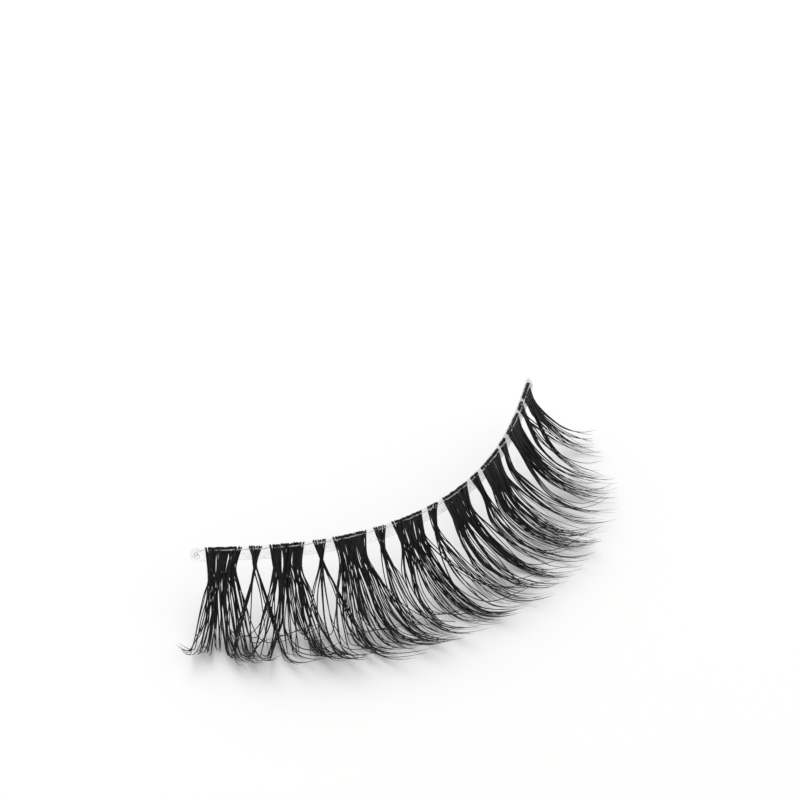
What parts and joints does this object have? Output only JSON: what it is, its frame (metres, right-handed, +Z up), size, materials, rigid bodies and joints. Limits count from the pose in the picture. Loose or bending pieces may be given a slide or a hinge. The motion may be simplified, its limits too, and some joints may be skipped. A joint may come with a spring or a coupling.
{
  "type": "false eyelash strip",
  "caption": "Curved clear film band with fans of curled black lashes that cross as they spread, standing on the bottoms of its curls.",
  "frame": {"origin": "bottom centre of the whole strip, on the surface that its curls stand on", "axes": "+X along the chord of the band, -Y the way the lashes reach, +Z up"},
  "size_m": [0.0386, 0.0162, 0.0054],
  "materials": {
    "clear_film": "clear glossy film",
    "pale_thread": "fine twisted thread",
    "black_lash": "satin fibre"
  },
  "bodies": {
    "root": {"clear_band": "clear_film", "tie_thread": "pale_thread", "wide_fan_1": "black_lash", "narrow_fan_1": "black_lash", "wide_fan_2": "black_lash", "narrow_fan_2": "black_lash", "wide_fan_3": "black_lash", "narrow_fan_3": "black_lash", "wide_fan_4": "black_lash", "narrow_fan_4": "black_lash", "wide_fan_5": "black_lash", "narrow_fan_5": "black_lash", "wide_fan_6": "black_lash", "narrow_fan_6": "black_lash", "wide_fan_7": "black_lash", "narrow_fan_7": "black_lash", "wide_fan_8": "black_lash"}
  },
  "joints": []
}
